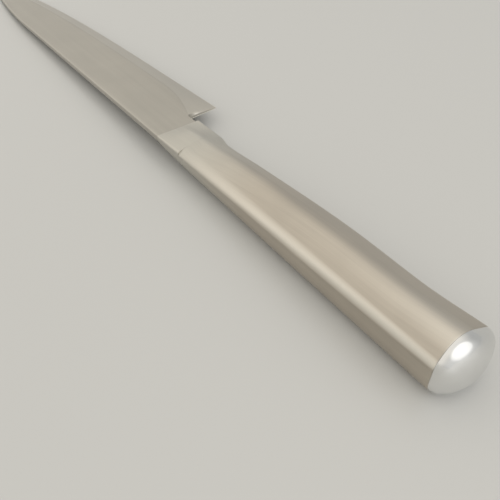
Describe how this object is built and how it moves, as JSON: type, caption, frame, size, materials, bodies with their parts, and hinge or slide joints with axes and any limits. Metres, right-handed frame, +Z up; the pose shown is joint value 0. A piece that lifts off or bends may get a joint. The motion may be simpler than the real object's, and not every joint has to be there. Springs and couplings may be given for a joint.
{
  "type": "yanagiba knife",
  "caption": "Long single-bevel slicing knife of stainless steel with a straight spine, a square heel notch, a bolster and a hollow welded handle with a polished dome at its butt.",
  "frame": {"origin": "on the surface that the knife lies on, under the middle of its bounding box", "axes": "+X from the butt to the tip, +Y towards the spine, +Z up, out of the bevelled front face"},
  "size_m": [0.3536, 0.0318, 0.0201],
  "materials": {
    "blade_steel": "fine satin grind along the blade",
    "bolster_steel": "satin",
    "handle_steel": "satin, brushed along the handle",
    "polished_steel": "mirror polished",
    "weld": "as welded"
  },
  "bodies": {
    "root": {"blade": "blade_steel", "bolster": "bolster_steel", "front_shell": "handle_steel", "back_shell": "handle_steel", "butt_cap": "polished_steel", "spine_seam_weld": "weld", "belly_seam_weld": "weld"}
  },
  "joints": []
}
